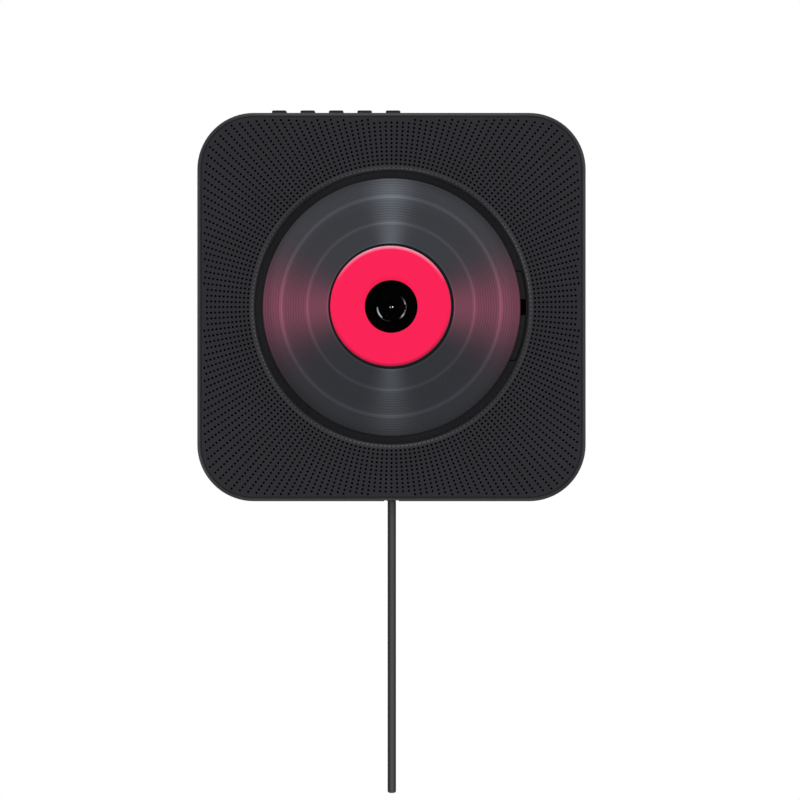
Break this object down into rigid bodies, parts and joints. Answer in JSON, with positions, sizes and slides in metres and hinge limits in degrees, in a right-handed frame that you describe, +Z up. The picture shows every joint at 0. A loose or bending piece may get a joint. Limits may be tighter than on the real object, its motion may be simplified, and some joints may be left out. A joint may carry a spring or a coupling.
{
  "type": "wall mounted disc player",
  "caption": "Square wall player: a disc spins in an open round well, sound holes fan out round it, keys on top, a pull cord hangs below.",
  "frame": {"origin": "middle of the four wall screw holes, on the wall's surface", "axes": "+X to the right seen from the front, +Y into the wall, +Z up"},
  "size_m": [0.18, 0.04, 0.3188],
  "materials": {
    "zinc_plate": "satin zinc",
    "case_back": "matt moulded",
    "rubber": "matt",
    "screw_steel": "black zinc",
    "case_black": "fine matt",
    "front_black": "fine matt",
    "inner_plastic": "matt",
    "well_black": "matt",
    "deck_grey": "fine matt",
    "plate_steel": "black coated steel",
    "motor_steel": "satin",
    "polished_steel": "polished",
    "hub_black": "gloss",
    "claw_plastic": "satin",
    "disc_black": "fine grooves with a record's sheen",
    "label_pink": "satin print",
    "gear_plastic": "satin",
    "lens_glass": "clear coated",
    "brass": "satin",
    "board_green": "satin",
    "chip_black": "matt",
    "key_black": "satin",
    "basket_steel": "satin black",
    "cone_paper": "matt",
    "magnet_grey": "matt",
    "cord_grey": "matt"
  },
  "bodies": {
    "bracket": {"wall_bracket": "zinc_plate", "bracket_studs": "zinc_plate"},
    "player": {"rear_cover": "case_back", "rear_pads": "rubber", "case_screws": "screw_steel", "housing_shell": "case_black", "front_baffle": "inner_plastic", "front_grille": "front_black", "well_ring": "front_black", "well_tray": "well_black", "tray_screws": "screw_steel", "deck_cover": "deck_grey", "deck_chassis": "plate_steel", "deck_dampers": "rubber", "damper_screws": "screw_steel", "spindle_motor": "motor_steel", "guide_rods": "polished_steel", "gear_post": "polished_steel", "sled_motor": "motor_steel", "main_board": "board_green", "board_parts": "chip_black", "board_screws": "screw_steel", "button_board": "board_green", "tact_switches": "chip_black", "speaker_frame_left": "basket_steel", "speaker_frame_right": "basket_steel", "speaker_cone_left": "cone_paper", "speaker_cone_right": "cone_paper", "speaker_magnet_left": "magnet_grey", "speaker_magnet_right": "magnet_grey", "speaker_screws": "screw_steel", "pull_switch_housing": "inner_plastic", "pull_spring": "polished_steel", "dc_inlet": "chip_black"},
    "turntable": {"turntable": "hub_black", "turntable_ring": "rubber", "spindle_hub": "hub_black", "hub_claws": "claw_plastic", "spindle_shaft": "polished_steel"},
    "disc": {"disc": "disc_black", "disc_label": "label_pink"},
    "sled": {"pickup_sled": "inner_plastic", "pickup_rack": "gear_plastic", "lens_holder": "inner_plastic", "pickup_lens": "lens_glass"},
    "gear": {"drive_gear": "gear_plastic"},
    "pinion": {"motor_pinion": "brass"},
    "pull": {"pull_slider": "gear_plastic", "cord_collar": "key_black", "pull_cord": "cord_grey"},
    "key_1": {"button_1": "key_black"},
    "key_2": {"button_2": "key_black"},
    "key_3": {"button_3": "key_black"},
    "key_4": {"button_4": "key_black"},
    "key_5": {"button_5": "key_black"}
  },
  "joints": [
    {"name": "player_lift", "type": "slide", "parent": "bracket", "child": "player", "axis": [0, 0, 1], "range_m": [0, 0.01]},
    {"name": "turntable_spin", "type": "hinge", "parent": "player", "child": "turntable", "pos_m": [0, 0, 0], "axis": [0, -1, 0], "continuous": true},
    {"name": "disc_lift", "type": "slide", "parent": "turntable", "child": "disc", "axis": [0, -1, 0], "range_m": [0, 0.03]},
    {"name": "sled_slide", "type": "slide", "parent": "player", "child": "sled", "axis": [1, 0, 0], "range_m": [0, 0.033]},
    {"name": "gear_spin", "type": "hinge", "parent": "player", "child": "gear", "pos_m": [0.04, 0, -0.024], "axis": [0, -1, 0], "range_deg": [-400, 0]},
    {"name": "pinion_spin", "type": "hinge", "parent": "player", "child": "pinion", "pos_m": [0.0274, 0, -0.024], "axis": [0, -1, 0], "range_deg": [0, 1280]},
    {"name": "key_1_press", "type": "slide", "parent": "player", "child": "key_1", "axis": [0, 0, -1], "range_m": [0, 0.0006], "stiffness_N_per_m": 1500},
    {"name": "key_2_press", "type": "slide", "parent": "player", "child": "key_2", "axis": [0, 0, -1], "range_m": [0, 0.0006], "stiffness_N_per_m": 1500},
    {"name": "key_3_press", "type": "slide", "parent": "player", "child": "key_3", "axis": [0, 0, -1], "range_m": [0, 0.0006], "stiffness_N_per_m": 1500},
    {"name": "key_4_press", "type": "slide", "parent": "player", "child": "key_4", "axis": [0, 0, -1], "range_m": [0, 0.0006], "stiffness_N_per_m": 1500},
    {"name": "key_5_press", "type": "slide", "parent": "player", "child": "key_5", "axis": [0, 0, -1], "range_m": [0, 0.0006], "stiffness_N_per_m": 1500},
    {"name": "cord_pull", "type": "slide", "parent": "player", "child": "pull", "axis": [0, 0, -1], "range_m": [0, 0.005], "stiffness_N_per_m": 300, "deforming": ["pull_spring"]}
  ],
  "couplings": [
    {"joint": "gear_spin", "follows": "sled_slide", "rad_per_m": -208.33},
    {"joint": "pinion_spin", "follows": "sled_slide", "rad_per_m": 666.67}
  ]
}
